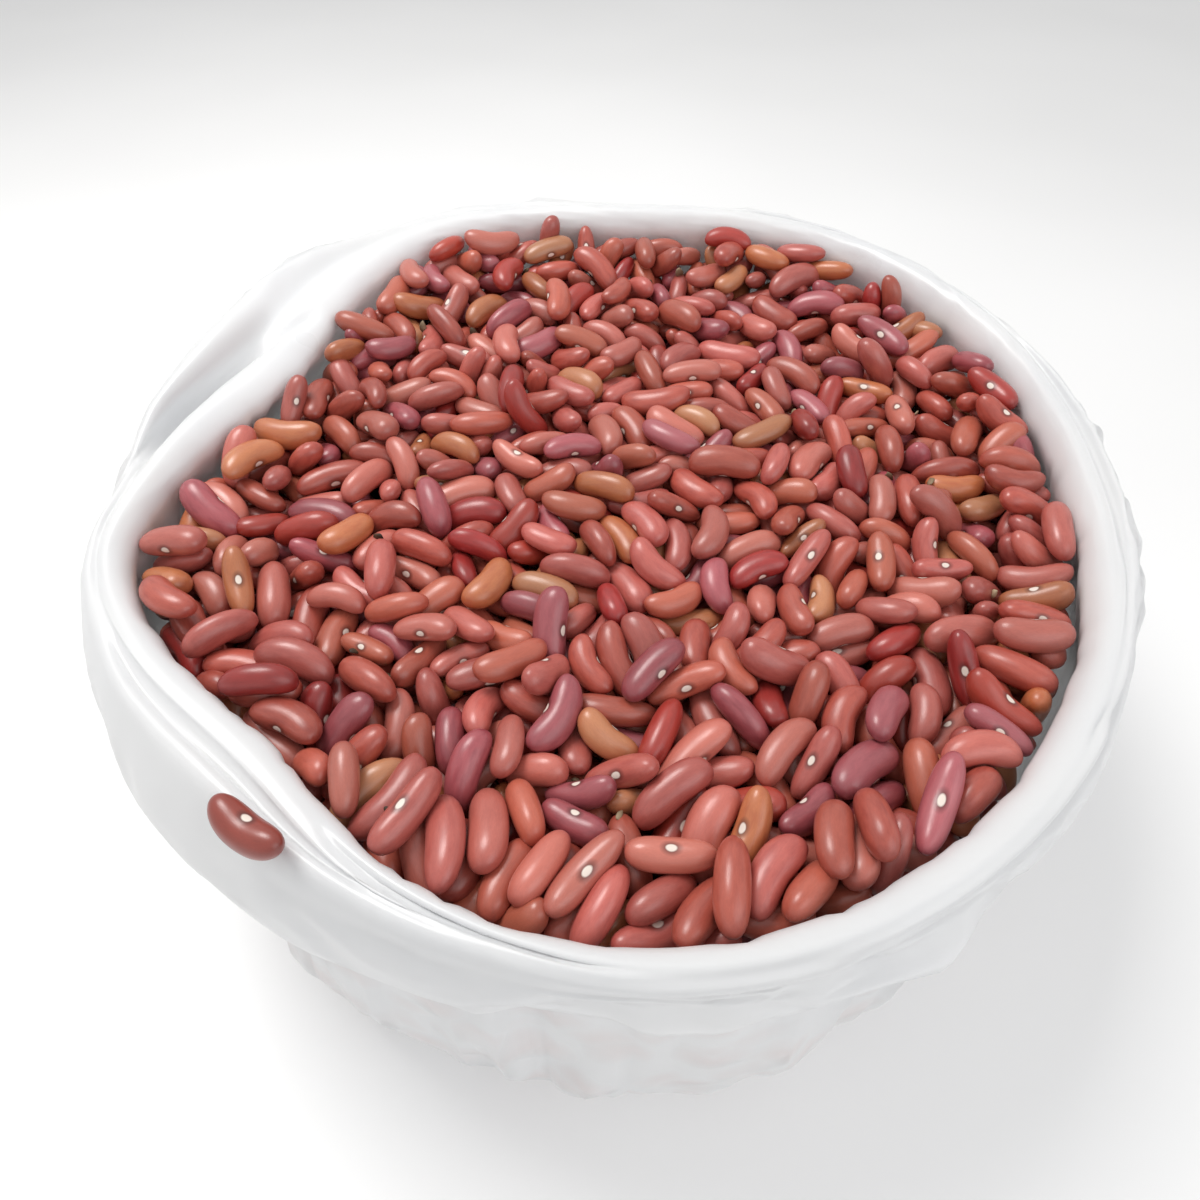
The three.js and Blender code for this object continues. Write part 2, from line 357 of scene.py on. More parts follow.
def in_fixed_order(mesh):
    """The mesh with rounded places, and its corners and faces in an order that depends only on them."""
    places = [tuple(round(c, 3) for c in vertex.co) for vertex in mesh.vertices]
    order = sorted(range(len(places)), key=lambda i: places[i])
    number = {old: new for new, old in enumerate(order)}
    faces = []
    for face in mesh.polygons:
        corners = [number[i] for i in face.vertices]
        first = corners.index(min(corners))
        faces.append(corners[first:] + corners[:first])
    ordered = bpy.data.meshes.new(mesh.name)
    ordered.from_pydata([places[i] for i in order], [], sorted(faces))
    bpy.data.meshes.remove(mesh)
    return ordered


def pan_meshes():
    """A floor on the core and a fence inside the film, both at pouring size."""
    floor = bmesh.new()
    bmesh.ops.create_grid(floor, x_segments=40, y_segments=40, size=PAN_REACH)
    for vertex in floor.verts:
        vertex.co.z = heap_level(vertex.co.x, vertex.co.y) - LAYER_DEPTH
    fence = film_cage.copy()
    rings = fence.verts.layers.float["ring"]
    spare = [v for v in fence.verts if not MOUTH - 3 <= v[rings] <= CREST]
    bmesh.ops.delete(fence, geom=spare, context="VERTS")
    rim = [e for e in fence.edges if e.is_boundary and min(v[rings] for v in e.verts) > CREST - 0.5]
    raised = bmesh.ops.extrude_edge_only(fence, edges=rim)["geom"]
    raised = [v for v in raised if isinstance(v, bmesh.types.BMVert)]
    bmesh.ops.translate(fence, verts=raised, vec=(0, 0, FENCE_RISE))
    made = []
    for name, bm in (("pan_floor", floor), ("pan_fence", fence)):
        bmesh.ops.scale(bm, verts=bm.verts, vec=(POUR_SCALE,) * 3)
        mesh = bpy.data.meshes.new(name)
        bm.to_mesh(mesh)
        bm.free()
        made.append(in_fixed_order(mesh))
    return made


# %% Starting places
BEAN_COUNT = 960
START_STEP = 15.5 * MM     # nearly a bean's length from one place to the next
START_ROWS = 9             # rows of places to either side of the middle
START_MARGIN = 5.5 * MM    # space between the places and the film
START_HEIGHT = 4 * MM      # of the lowest layer over the heap's surface
LAYER_STEP = 12 * MM
TOP_UP_COUNT = 120         # extra beans that fall last, along the film
TOP_UP_ROUND = 40          # how many of them lie side by side round the bag
TOP_UP_MARGIN = 8 * MM


def mouth_reaches():
    """How far the mouth's edge lies from its middle, and in which direction, all the way round."""
    rings = film_cage.verts.layers.float["ring"]
    edge = [v.co - mouth_middle for v in film_cage.verts if v[rings] == MOUTH]
    return sorted((math.atan2(v.y, v.x), v.xy.length) for v in edge)


mouth_edge = mouth_reaches()


def mouth_reach(x, y):
    turns, reaches = zip(*mouth_edge)
    return float(np.interp(math.atan2(y, x), turns, reaches, period=2 * math.pi))


def starting_places():
    """Places above the pan in loose level layers, and a few last rounds of places along the film."""
    places = []
    layer = 0

    def add_place(x, y, layer):
        height = heap_level(x, y) + START_HEIGHT + LAYER_STEP * layer
        place = mouth_middle.xy.to_3d() + Vector((x, y, height))
        places.append(Vector([round(c, 5) for c in place]))

    while len(places) < BEAN_COUNT:
        shift = START_STEP * 0.5 * (layer % 2)
        for row in range(-START_ROWS, START_ROWS + 1):
            for column in range(-START_ROWS, START_ROWS + 1):
                x = row * START_STEP + shift
                y = column * START_STEP + shift
                if math.hypot(x, y) < mouth_reach(x, y) - START_MARGIN:
                    add_place(x, y, layer)
        layer += 1
    del places[BEAN_COUNT:]
    for number in range(TOP_UP_COUNT):
        rounds = number // TOP_UP_ROUND
        turn = 2 * math.pi * (number + 0.5 * rounds) / TOP_UP_ROUND
        way = Vector((math.cos(turn), math.sin(turn)))
        add_place(*(way * (mouth_reach(*way) - TOP_UP_MARGIN)), layer + rounds)
    return places


def bean_size(dice):
    """Uneven beans: longer ones are also fatter, but not in step."""
    length = min(max(dice.gauss(1.0, 0.10), 0.72), 1.22)
    girth = length ** 0.5 * dice.uniform(0.92, 1.08)
    return Vector((length, girth, girth * dice.uniform(0.93, 1.05)))


# %% Pour
POUR_FRAMES = 70
POUR_GRAVITY = -70         # metres per second squared, at the pour's own size
BEAN_FRICTION = 0.45


def make_rigid(body, group, shape, kind):
    group.objects.link(body)
    body.rigid_body.type = kind
    body.rigid_body.collision_shape = shape
    body.rigid_body.friction = BEAN_FRICTION
    body.rigid_body.restitution = 0.0


def pour():
    """Drops the beans and returns where each came to rest: [(form, size, matrix), ...]."""
    dice = random.Random(20)
    group = bpy.data.collections.new("pour")
    scene.collection.children.link(group)
    bpy.ops.rigidbody.world_add()
    world = scene.rigidbody_world
    world.collection = group
    world.substeps_per_frame = 5
    world.solver_iterations = 8
    world.point_cache.frame_end = POUR_FRAMES
    gravity = scene.gravity.copy()
    scene.gravity = (0, 0, POUR_GRAVITY)
    for mesh in pan_meshes():
        make_rigid(bpy.data.objects.new(mesh.name, mesh), group, "MESH", "PASSIVE")
    beans = []
    for number, place in enumerate(starting_places()):
        form = dice.randrange(len(bean_forms))
        size = bean_size(dice)
        mesh = pour_forms[form].copy()
        mesh.transform(Matrix.Diagonal((*(size * POUR_SCALE), 1)))
        body = bpy.data.objects.new(f"pour_{number}", mesh)
        jog = Vector((dice.uniform(-2, 2), dice.uniform(-2, 2), dice.uniform(0, 2))) * MM
        body.location = (place + jog) * POUR_SCALE
        tilt = (dice.uniform(-0.5, 0.5), dice.uniform(-0.6, 0.6), dice.uniform(0, 2 * math.pi))
        body.rotation_euler = Euler(tilt)
        make_rigid(body, group, "CONVEX_HULL", "ACTIVE")
        body.rigid_body.linear_damping = 0.1
        body.rigid_body.angular_damping = 0.3
        beans.append((form, size, body))
    for step in range(1, POUR_FRAMES + 1):
        scene.frame_set(step)
    graph = bpy.context.evaluated_depsgraph_get()
    rest = []
    for form, size, body in beans:
        place, turn, _ = body.evaluated_get(graph).matrix_world.decompose()
        rest.append((form, size, Matrix.LocRotScale(place / POUR_SCALE, turn, size)))
    for body in list(group.objects):
        mesh = body.data
        bpy.data.objects.remove(body)
        bpy.data.meshes.remove(mesh)
    bpy.ops.rigidbody.world_remove()
    bpy.data.collections.remove(group)
    scene.gravity = gravity
    scene.frame_set(1)
    return rest


# %% [markdown]
# ## Levelling the heap
# The poured heap has slopes of its own, so every bean is lifted or lowered by a smooth amount until
# the highest beans follow the level of the construction model's heap. Real beans also push against
# the film that holds them, so those along it are drawn out towards it, most of all at the back, but
# never through it. The few beans that fell outside the bag are left out.

# %% Beans that lie in the bag
TOP_LIMIT = 14 * MM        # a bean that lies higher than this over the heap's surface is left out
EDGE_SLACK = 2 * MM        # how far past the mouth's edge a bean's middle may lie


def in_the_bag(matrix):
    """Whether a bean came to rest on the heap and not beside or under it."""
    place = matrix.translation
    height = place.z - heap_level(place.x, place.y)
    from_middle = (place - mouth_middle).xy
    inside = from_middle.length < mouth_reach(*from_middle) + EDGE_SLACK
    return inside and -LAYER_DEPTH < height < TOP_LIMIT


# %% Room between the beans and the film
def wall_lines():
    """The film's heights and reaches from its belly to its crest, for each direction round the bag."""
    rings = film_cage.verts.layers.float["ring"]
    lines = [[] for _ in range(WAYS)]
    for vertex in film_cage.verts:
        if MOUTH - 4 <= vertex[rings] <= CREST:
            reach = (vertex.co - mouth_middle).xy.length
            lines[way_of(vertex.co, mouth_middle)].append((vertex.co.z, reach))
    return [tuple(zip(*sorted(line))) for line in lines]


film_walls = wall_lines()


def room_to_film(form, matrix):
    """How far a bean lies inside the film, or below 0 if it reaches through it."""
    room = math.inf
    for corner in bean_forms[form].vertices:
        place = matrix @ corner.co
        heights, reaches = film_walls[way_of(place, mouth_middle)]
        if place.z < heights[-1]:
            reach = float(np.interp(place.z, heights, reaches))
            room = min(room, reach - (place - mouth_middle).xy.length)
    return room


# %% Level the heap
TOP_CELL = 16 * MM         # the highest bean is found in each square of this size
TOP_OVER_LEVEL = 2 * MM    # how far the highest beans rise over the heap's surface
EDGE_START = 0.75          # beans nearer to the middle than this share can't touch the film
EDGE_LIFT, BACK_LIFT = 1 * MM, 3.5 * MM        # how much higher beans lie along the film
EDGE_SPREAD, BACK_SPREAD = 1.5 * MM, 6.5 * MM  # how far they are drawn out towards it
LIFT_POWER, SPREAD_POWER = 8, 6  # how steeply both grow towards the film
FILM_SPACE = 0.3 * MM      # what stays free between a bean and the film


def level_off(beans):
    """Lifts the beans by a smooth amount, so that they follow the heap's level and reach the film.

    The lift and the outward move along the film have a first part that holds all round, and a back
    part that grows from nothing at the front to its full amount at the back.
    """
    tops = []
    for form, _, matrix in beans:
        place = matrix.translation
        top = max((matrix @ v.co).z for v in bean_forms[form].vertices)
        tops.append((place.x, place.y, top - heap_level(place.x, place.y)))
    tops = np.array(tops)
    cell = np.round(tops[:, :2] / TOP_CELL)
    highest = [tops[(cell == key).all(axis=1)] for key in np.unique(cell, axis=0)]
    highest = np.array([group[group[:, 2].argmax()] for group in highest])

    def terms(x, y):
        return np.array([np.ones_like(x), x, y, x * x, x * y, y * y, (x * x + y * y) ** 2])

    fit = np.linalg.lstsq(terms(*highest[:, :2].T).T, highest[:, 2], rcond=None)[0]
    lifts = []
    for form, _, matrix in beans:
        place = matrix.translation
        from_middle = (place - mouth_middle).xy
        edge = from_middle.length / mouth_reach(*from_middle)
        behind = 0.5 + 0.5 * from_middle.y / max(from_middle.length, MM)
        edge_lift = (EDGE_LIFT + BACK_LIFT * behind) * edge ** LIFT_POWER
        lifts.append(TOP_OVER_LEVEL + edge_lift - float(fit @ terms(place.x, place.y)))
        matrix.translation.z += lifts[-1]
        if edge > EDGE_START:
            spread = (EDGE_SPREAD + BACK_SPREAD * behind) * edge ** SPREAD_POWER
            outwards = min(spread, room_to_film(form, matrix) - FILM_SPACE)
            matrix.translation += from_middle.normalized().to_3d() * outwards
    print("lifted by", round(min(lifts) / MM, 1), "to", round(max(lifts) / MM, 1), "mm")
    unevenness = np.std(highest[:, 2] - terms(*highest[:, :2].T).T @ fit)
    print("spread of the tops", round(float(unevenness) / MM, 1), "mm")
    return beans


poured = level_off([bean for bean in pour() if in_the_bag(bean[2])])
heights = [m.translation.z - heap_level(m.translation.x, m.translation.y) for _, _, m in poured]
print(len(poured), "beans at rest, the highest", round(max(heights) / MM, 1), "mm over the level")

# %% [markdown]
# ## The beans' skins
# Most of the beans are dusty rose, and a few are tan, mauve or crimson. A dried bean's skin is satin:
# it has a soft wide highlight, faint mottling that runs along it, browner tips, and a white eye with
# a dark ring on its hollow side. One node group makes that pattern from the place that each corner
# remembers, and every kind of bean puts its own colours through it. A random tone for each bean
# makes neighbours differ.

# %% Seed coat node group
def seed_coat_group():
    inputs = [
        ("Skin", "NodeSocketColor", (0.4, 0.14, 0.12, 1)),
        ("Deep Skin", "NodeSocketColor", (0.25, 0.06, 0.05, 1)),
        ("Blush", "NodeSocketColor", (0.5, 0.2, 0.15, 1)),
        ("Mottle", "NodeSocketFloat", 0.5),
    ]
    outputs = [
        ("Color", "NodeSocketColor"), ("Roughness", "NodeSocketFloat"), ("Height", "NodeSocketFloat"),
    ]
    tree, given, result = new_group("seed_coat", inputs, outputs)
    own = add_node(tree, "ShaderNodeAttribute", attribute_name="own_place").outputs["Vector"]
    tone = add_node(tree, "ShaderNodeAttribute", attribute_name="tone").outputs["Fac"]
    parts = add_node(tree, "ShaderNodeSeparateXYZ", {"Vector": own}).outputs

    # Mottling drawn out along the bean, different on each one.
    apart = add_node(tree, "ShaderNodeCombineXYZ", {"X": calc(tree, "MULTIPLY", tone, 37.0), "Z": tone})
    spread = add_node(tree, "ShaderNodeVectorMath", {0: own, 1: (1.1, 1.6, 1.6)}, operation="MULTIPLY")
    moved = add_node(
        tree, "ShaderNodeVectorMath", {0: spread.outputs[0], 1: apart.outputs[0]}, operation="ADD"
    ).outputs[0]
    large = {"Vector": moved, "Scale": 1.6, "Detail": 4.0}
    small = {"Vector": moved, "Scale": 9.0, "Detail": 2.0}
    mottle = add_node(tree, "ShaderNodeTexNoise", large).outputs["Fac"]
    fleck = add_node(tree, "ShaderNodeTexNoise", small).outputs["Fac"]
    patches = calc(tree, "MULTIPLY", calc(tree, "SUBTRACT", mottle, 0.42), 3.0, clamp=True)
    depth = calc(tree, "MULTIPLY", patches, given.outputs["Mottle"])
    colour = mix_colour(tree, depth, given.outputs["Skin"], given.outputs["Deep Skin"])

    # Some beans blush, and the tips are a little browner than the middle.
    second = calc(tree, "FRACT", calc(tree, "MULTIPLY", tone, 7.31))
    blushing = calc(tree, "MULTIPLY", calc(tree, "POWER", second, 2.0), 0.75)
    colour = mix_colour(tree, blushing, colour, given.outputs["Blush"])
    tips = calc(tree, "POWER", calc(tree, "ABSOLUTE", parts["X"]), 6.0)
    colour = mix_colour(tree, calc(tree, "MULTIPLY", tips, 0.4), colour, given.outputs["Deep Skin"])
    light = calc(tree, "MULTIPLY_ADD", tone, 0.36, 0.745)
    light = calc(tree, "ADD", light, calc(tree, "MULTIPLY", calc(tree, "SUBTRACT", fleck, 0.5), 0.22))
    shade = add_node(tree, "ShaderNodeCombineColor", {"Red": light, "Green": light, "Blue": light})
    colour = mix_colour(tree, 1.0, colour, shade.outputs[0], "MULTIPLY")

    # The eye: a white oval on the hollow side, inside a dark ring.
    long_way = calc(tree, "POWER", calc(tree, "DIVIDE", parts["X"], 0.27), 2.0)
    short_way = calc(tree, "POWER", calc(tree, "DIVIDE", parts["Z"], 0.45), 2.0)
    from_eye = calc(tree, "SQRT", calc(tree, "ADD", long_way, short_way))
    facing = calc(tree, "GREATER_THAN", parts["Y"], 0.0)
    ring = ramp(tree, from_eye, [(0.45, (1, 1, 1, 1)), (1.0, (0, 0, 0, 1))])
    ring = calc(tree, "MULTIPLY", calc(tree, "MULTIPLY", ring, facing), 0.7)
    colour = mix_colour(tree, ring, colour, (0.045, 0.008, 0.006, 1))
    white = ramp(tree, from_eye, [(0.36, (1, 1, 1, 1)), (0.5, (0, 0, 0, 1))])
    white = calc(tree, "MULTIPLY", white, facing)
    colour = mix_colour(tree, white, colour, (0.80, 0.70, 0.62, 1))
    tree.links.new(colour, result.inputs["Color"])

    rough = calc(tree, "MULTIPLY_ADD", mottle, 0.25, 0.22)
    tree.links.new(calc(tree, "MULTIPLY_ADD", white, 0.2, rough), result.inputs["Roughness"])
    relief = calc(tree, "MULTIPLY_ADD", fleck, 0.5, calc(tree, "MULTIPLY", white, 0.8))
    tree.links.new(calc(tree, "MULTIPLY_ADD", ring, -0.8, relief), result.inputs["Height"])
    return tree


seed_coat = seed_coat_group()


def bean_skin(name, skin, deep, blush, mottle):
    """A bean's finish, with its own colours in the shared seed coat."""
    material, tree, shader = new_material(name)
    values = {"Skin": skin, "Deep Skin": deep, "Blush": blush, "Mottle": mottle}
    coat = tree.nodes.new("ShaderNodeGroup")
    coat.node_tree = seed_coat
    for label, value in values.items():
        coat.inputs[label].default_value = value
    bump = add_node(tree, "ShaderNodeBump", {"Height": coat.outputs["Height"], "Strength": 0.25})
    bump.inputs["Distance"].default_value = 0.12 * MM
    tree.links.new(coat.outputs["Color"], shader.inputs["Base Color"])
    tree.links.new(coat.outputs["Roughness"], shader.inputs["Roughness"])
    tree.links.new(bump.outputs["Normal"], shader.inputs["Normal"])
    shader.inputs["Specular IOR Level"].default_value = 0.75
    return material


# %% Kinds of bean
# Name, share of the heap, skin, deeper skin, blush, and how mottled.
BEAN_KINDS = [
    ("rose_beans", 0.34, srgb(190, 99, 90), srgb(156, 60, 55), srgb(200, 120, 102), 0.55),
    ("dusky_beans", 0.37, srgb(183, 88, 74), srgb(144, 48, 40), srgb(194, 110, 84), 0.6),
    ("tan_beans", 0.11, srgb(188, 112, 72), srgb(162, 74, 46), srgb(198, 142, 104), 0.5),
    ("mauve_beans", 0.12, srgb(170, 84, 90), srgb(128, 44, 56), srgb(180, 102, 108), 0.6),
    ("crimson_beans", 0.06, srgb(164, 52, 50), srgb(118, 20, 22), srgb(178, 74, 54), 0.5),
]


def finish_piece(mesh, name, material, slot, *nodes):
    """A finished mesh as a piece that rides with the bag."""
    mesh.name = name
    mesh.materials.append(material)
    mesh.shade_smooth()
    piece = bpy.data.objects.new(name, mesh)
    scene.collection.objects.link(piece)
    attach(piece, "root")
    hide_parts(*nodes)
    return piece


def add_levels(piece, levels):
    finer = piece.modifiers.new("finer", "SUBSURF")
    finer.levels = levels
    finer.render_levels = levels
    return finer


def placed_bean(form, matrix, tone):
    mesh = bean_forms[form].copy()
    mesh.transform(matrix)
    tones = mesh.attributes.new("tone", "FLOAT", "POINT")
    tones.data.foreach_set("value", [tone] * len(mesh.vertices))
    return mesh


def deal_kinds(count):
    """A kind for every bean, dealt at random by the shares above."""
    dice = random.Random(7)
    shares = [kind[1] for kind in BEAN_KINDS]
    return dice.choices(range(len(BEAN_KINDS)), weights=shares, k=count)


def make_bean_pieces():
    dice = random.Random(11)
    heaps = [bmesh.new() for _ in BEAN_KINDS]
    for bm in heaps:
        bm.verts.layers.float_vector.new("own_place")
        bm.verts.layers.float.new("tone")
    for (form, _, matrix), kind in zip(poured, deal_kinds(len(poured))):
        mesh = placed_bean(form, matrix, dice.random())
        heaps[kind].from_mesh(mesh)
        bpy.data.meshes.remove(mesh)
    for bm, (name, _, *colours) in zip(heaps, BEAN_KINDS):
        mesh = bpy.data.meshes.new(name)
        bm.to_mesh(mesh)
        bm.free()
        piece = finish_piece(mesh, name, bean_skin(name + "_skin", *colours), "bean_skin", "beans")
        add_levels(piece, 1)
        print(name, len(mesh.polygons), "faces before smoothing")


make_bean_pieces()

# %% [markdown]
# ## The core under the beans
# Below the poured layers nothing is seen but darkness, so the rest of the heap stays one solid. It
# is the construction model's heap, merged, lowered to where the pour began, and drawn in a little
# from the film. Its skin is painted shade: the beans' red made dark, and darkest at the edges of its
# cells as in the gaps between buried beans, with a coarse relief, in case a gap shows it.

# %% Core
CORE_MARGIN = 2 * MM       # how far the core is drawn in from the film
CORE_HUB = 30 * MM         # nearer to the middle than this it is drawn in by less


def make_core():
    bm = bmesh.new()
    bm.from_mesh(frame["nodes"]["beans"].data)
    bmesh.ops.remove_doubles(bm, verts=bm.verts, dist=MERGE)
    for vertex in bm.verts:
        drawn_in = 1 - CORE_MARGIN / max((vertex.co - mouth_middle).xy.length, CORE_HUB)
        vertex.co.x = mouth_middle.x + (vertex.co.x - mouth_middle.x) * drawn_in
        vertex.co.y = mouth_middle.y + (vertex.co.y - mouth_middle.y) * drawn_in
        vertex.co.z = min(vertex.co.z, heap_level(vertex.co.x, vertex.co.y) - LAYER_DEPTH)
    bmesh.ops.recalc_face_normals(bm, faces=bm.faces)
    mesh = bpy.data.meshes.new("bean_core")
    bm.to_mesh(mesh)
    bm.free()
    material, tree, shader = new_material("core_painted_shade")
    place = add_node(tree, "ShaderNodeTexCoord").outputs["Object"]
    cells = add_node(tree, "ShaderNodeTexVoronoi", {"Vector": place, "Scale": 95.0})
    # Painted shade: dark red in the middle of each cell and near black at its edges, for the shade deep
    # in the heap.
    tone = ramp(tree, cells.outputs["Distance"], [(0.1, srgb(120, 52, 46)), (0.75, srgb(38, 8, 7))])
    bump = add_node(tree, "ShaderNodeBump", {"Height": cells.outputs["Distance"], "Strength": 1.0})
    bump.inputs["Distance"].default_value = -3 * MM
    tree.links.new(tone, shader.inputs["Base Color"])
    tree.links.new(bump.outputs["Normal"], shader.inputs["Normal"])
    shader.inputs["Roughness"].default_value = 0.6
    return finish_piece(mesh, "bean_core", material, "bean_skin", "beans")


make_core()

# %% [markdown]
# ## Chaff
# A bag of dried beans always holds a little rubbish: scraps of stem and pod, a dark seed or two. They
# lie in the hollows between the beans, so each scrap falls straight down at a few places close
# together, and stays at the lowest of them.

# %% Chaff
CHAFF_COUNT = 26
CHAFF_SIZE = 1.5 * MM
CHAFF_SEARCH = 6 * MM      # how far round its place a scrap looks for a hollow
CHAFF_REACH = 0.9          # how far out it may lie, as a share of the mouth


def bean_tops():
    """Every poured bean in one tree, for finding what lies under a point."""
    bm = bmesh.new()
    for form, _, matrix in poured:
        mesh = bean_forms[form].copy()
        mesh.transform(matrix)
        bm.from_mesh(mesh)
        bpy.data.meshes.remove(mesh)
    tree = BVHTree.FromBMesh(bm)
    bm.free()
    return tree


def scrap(bm, place, size, dice):
    """One scrap: a coarse ball squashed, roughened and turned at random."""
    made = bmesh.ops.create_icosphere(bm, subdivisions=2, radius=size)["verts"]
    flat = Vector((dice.uniform(0.9, 2.0), dice.uniform(0.6, 1.0), dice.uniform(0.25, 0.7)))
    turn = Euler([dice.uniform(0, 2 * math.pi) for _ in range(3)])
    seed = Vector((dice.random(), dice.random(), dice.random())) * 50
    for vertex in made:
        vertex.co *= 1 + 0.5 * noise.noise(vertex.co / size * 0.9 + seed)
    bmesh.ops.transform(bm, verts=made, matrix=Matrix.LocRotScale(place, turn, flat))


def hollow_near(tops, x, y):
    """The lowest place on the beans among a few close to one point."""
    found = []
    for shift_x, shift_y in ((0, 0), (1, 0), (0, 1), (-1, 0)):
        above = (x + shift_x * CHAFF_SEARCH, y + shift_y * CHAFF_SEARCH, 1)
        hit = tops.ray_cast(above, (0, 0, -1))[0]
        if hit is not None:
            found.append(hit)
    return min(found, key=lambda hit: hit.z)


def chaff_mesh():
    dice = random.Random(5)
    tops = bean_tops()
    bm = bmesh.new()
    for _ in range(CHAFF_COUNT):
        turn = dice.uniform(0, 2 * math.pi)
        way = Vector((math.cos(turn), math.sin(turn), 0))
        over = mouth_middle + way * mouth_reach(way.x, way.y) * CHAFF_REACH * math.sqrt(dice.random())
        scrap(bm, hollow_near(tops, over.x, over.y), CHAFF_SIZE * dice.uniform(0.5, 1.2), dice)
    mesh = bpy.data.meshes.new("chaff")
    bm.to_mesh(mesh)
    bm.free()
    return mesh


def chaff_finish():
    material, tree, shader = new_material("chaff_skin")
    place = add_node(tree, "ShaderNodeTexCoord").outputs["Object"]
    patch = add_node(tree, "ShaderNodeTexNoise", {"Vector": place, "Scale": 40.0, "Detail": 3.0})
    browns = [(0.40, srgb(34, 26, 22)), (0.50, srgb(96, 74, 52)), (0.60, srgb(176, 158, 128))]
    tone = ramp(tree, patch.outputs["Fac"], browns)
    grain = add_node(tree, "ShaderNodeTexNoise", {"Vector": place, "Scale": 900.0, "Detail": 3.0})
    bump = add_node(tree, "ShaderNodeBump", {"Height": grain.outputs["Fac"], "Strength": 0.6})
    bump.inputs["Distance"].default_value = 0.3 * MM
    tree.links.new(tone, shader.inputs["Base Color"])
    tree.links.new(bump.outputs["Normal"], shader.inputs["Normal"])
    shader.inputs["Roughness"].default_value = 0.7
    return material


finish_piece(chaff_mesh(), "chaff", chaff_finish(), "bean_skin", "beans")

# %% [markdown]
# ## The film
# The bag is soft polyethylene film, a few hundredths of a millimetre thick. It bulges where beans
# press on it, gathers into upright pleats below the collar, and turns over the rim in a puffy roll
# with creases that run along the rim. The clean cage is made finer by subdivision, and every corner
# is then moved along its own normal by a sum of soft waves, ridged folds, and a few folds placed
# where this bag has them. That is only a start: a cloth simulation crumples it afterwards.

# %% Finer sheet
def finer_sheet():
    """The cage subdivided twice, as a mesh whose ring numbers run smoothly between the rings."""
    mesh = bpy.data.meshes.new("film")
    film_cage.to_mesh(mesh)
    holder = bpy.data.objects.new("film_cage", mesh)
    scene.collection.objects.link(holder)
    add_levels(holder, 2)
    bpy.context.view_layer.update()
    graph = bpy.context.evaluated_depsgraph_get()
    finer = bpy.data.meshes.new_from_object(holder.evaluated_get(graph), depsgraph=graph)
    bpy.data.objects.remove(holder)
    bpy.data.meshes.remove(mesh)
    return finer


film_mesh = finer_sheet()
print("film sheet", len(film_mesh.vertices), "corners")

# %% Fold fields
RIM_RADIUS = 120 * MM      # to turn directions into lengths along the rim
RING_STEP = 3.3 * MM       # mean distance between rings on the collar


def ease(values, start, end):
    """0 before start, 1 after end, smooth between; the ends may run either way."""
    share = np.clip((values - start) / (end - start), 0, 1)
    return share * share * (3 - 2 * share)


def waves(turns, across, along_length, across_length, seed):
    """Smooth noise from -1 to 1, stretched along the rim and closed on itself round the bag."""
    loop = RIM_RADIUS / along_length
    points = zip(np.cos(turns) * loop, np.sin(turns) * loop + seed, across / across_length - seed)
    return np.array([noise.noise(Vector(point)) for point in points])


def ridges(turns, across, along_length, across_length, seed, sharpness=3.0):
    """Narrow folds from 0 to 1 where smooth noise passes through zero."""
    field = waves(turns, across, along_length, across_length, seed)
    return np.clip(1 - np.abs(field) * 2.2, 0, 1) ** sharpness


def placed_fold(turns, rings, start, end, width):
    """1 along a line from start to end, each (degrees, ring), fading over a width either side."""
    start_turn, end_turn = math.radians(start[0]), math.radians(end[0])
    span = (end_turn - start_turn) * RIM_RADIUS
    rise = (end[1] - start[1]) * RING_STEP
    turned = (turns - start_turn + math.pi) % (2 * math.pi) - math.pi
    x = turned * RIM_RADIUS
    y = (rings - start[1]) * RING_STEP
    length = span * span + rise * rise
    share = np.clip((x * span + y * rise) / length, 0, 1)
    away = np.hypot(x - share * span, y - share * rise)
    return np.exp(-((away / width) ** 2)) * ease(share, -0.15, 0.25) * ease(share, 1.15, 0.75)


# Folds that this bag has: from and to as (degrees, ring), width and height in millimetres.
# Below 0 is a crease, above 0 a ridge.
PLACED_FOLDS = [
    ((200, 15.8), (252, 15.7), 2.6, 1.8),
    ((208, 16.7), (246, 16.3), 1.0, -3.4),
    ((208, 17.7), (246, 17.3), 2.2, 0.7),
    ((242, 14.8), (268, 15.6), 1.0, -2.2),
    ((244, 15.7), (272, 16.6), 1.8, 0.8),
    ((226, 19.6), (258, 19.6), 3.0, -1.2),
    ((144, 13.9), (157, 15.3), 1.2, -2.4),
    ((154, 15.3), (179, 15.9), 1.5, -5.0),
    ((165, 16.0), (181, 17.2), 2.6, -2.4),
    ((150, 17.0), (176, 17.6), 2.4, 2.6),
    ((136, 18.2), (166, 18.2), 4.0, 2.2),
    ((343, 16.2), (382, 16.4), 1.6, -2.2),
    ((20, 17.5), (66, 16.2), 2.0, -1.8),
    ((30, 19.5), (70, 18.2), 2.5, 1.6),
    ((286, 17.4), (330, 16.8), 2.0, 1.0),
    ((288, 18.8), (334, 18.2), 2.6, -1.6),
    ((318, 15.6), (326, 18.5), 2.4, -1.2),
    ((182, 17.0), (203, 20.5), 2.4, -2.2),
    ((176, 19.0), (196, 22.0), 2.8, 1.8),
    ((150, 20.0), (186, 19.0), 2.2, -2.0),
    ((262, 17.5), (300, 19.0), 2.6, 1.0),
]


# %% Shape the film
# Where the film along the rim keeps its smooth shape: direction, and half width in degrees.
SMOOTH_STRETCHES = [(262, 86), (162, 26)]
SMOOTH_FADE = 22           # degrees over which a smooth stretch ends
SMOOTH_SHARE = 0.8         # how much of the waves and ridges is left out there
TABLE_SPACE = 0.15 * MM    # what the film keeps free under itself


